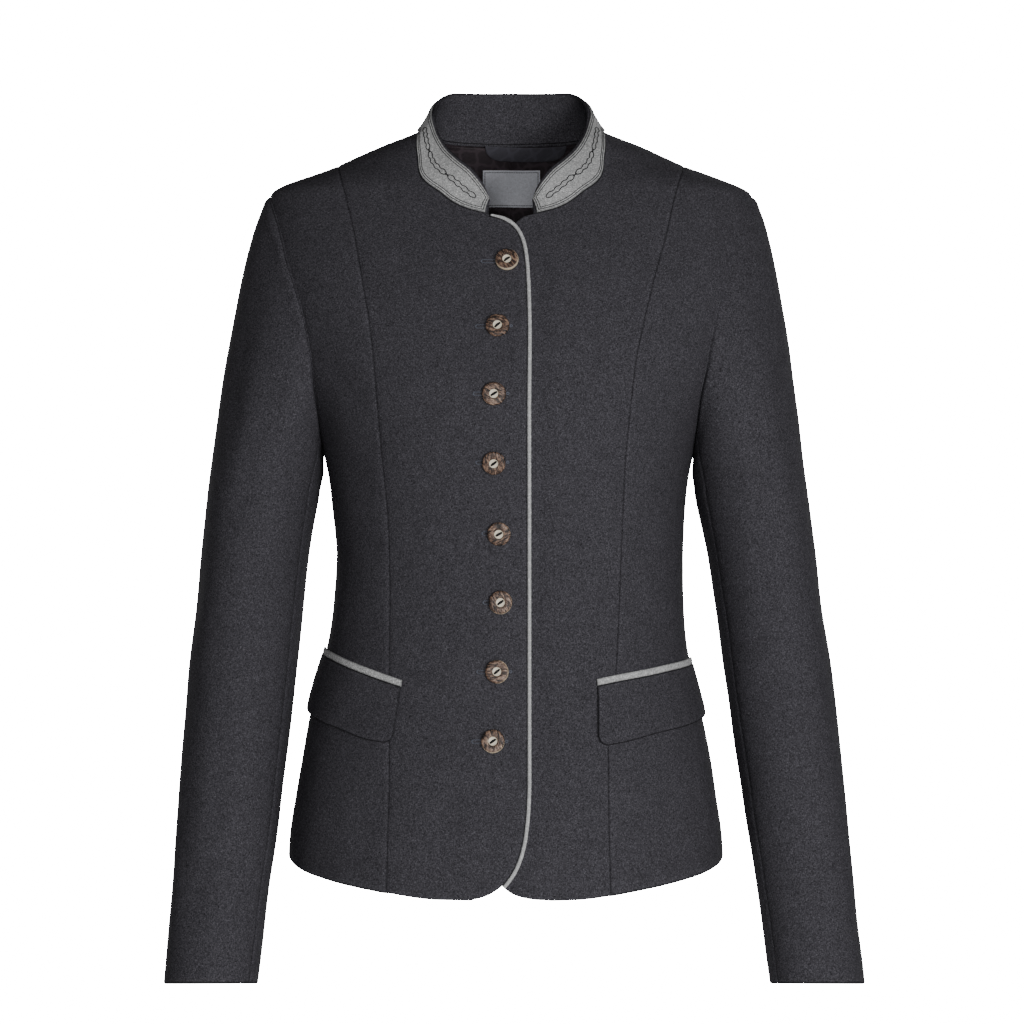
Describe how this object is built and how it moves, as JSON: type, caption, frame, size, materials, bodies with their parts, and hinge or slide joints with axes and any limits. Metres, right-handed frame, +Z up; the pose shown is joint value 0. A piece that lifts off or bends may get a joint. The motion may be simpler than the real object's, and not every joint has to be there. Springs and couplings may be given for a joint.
{
  "type": "women's trachten blazer",
  "caption": "Women's charcoal wool stand-collar blazer with horn buttons, grey felt collar and pocket welts, a piped front edge and flap pockets, in its worn shape.",
  "frame": {"origin": "on the centre line, midway between the neck points, where the shoulders carry the jacket", "axes": "+Z up, -Y out of the front, +X towards the wearer's left"},
  "size_m": [0.5528, 0.2701, 0.7171],
  "materials": {
    "cloth": "napped charcoal wool",
    "felt": "light grey wool felt",
    "horn": "polished stag horn with bark",
    "lining": "woven lining with a slight shine",
    "label": "woven label"
  },
  "bodies": {
    "root": {"front_right": "cloth", "front_left": "cloth", "side_front_right": "cloth", "side_front_left": "cloth", "back_right": "cloth", "back_left": "cloth", "side_back_right": "cloth", "side_back_left": "cloth", "sleeve_top_right": "cloth", "sleeve_top_left": "cloth", "sleeve_under_right": "cloth", "sleeve_under_left": "cloth", "pocket_flap_right": "cloth", "pocket_flap_left": "cloth", "pocket_welt_right": "felt", "pocket_welt_left": "felt", "lining_back_right": "lining", "lining_back_left": "lining", "collar_stand": "cloth", "collar_trim": "felt", "front_piping": "felt", "hanger_loop": "lining", "label": "label", "button_1": "horn", "button_2": "horn", "button_3": "horn", "button_4": "horn", "button_5": "horn", "button_6": "horn", "button_7": "horn", "button_8": "horn"}
  },
  "joints": []
}
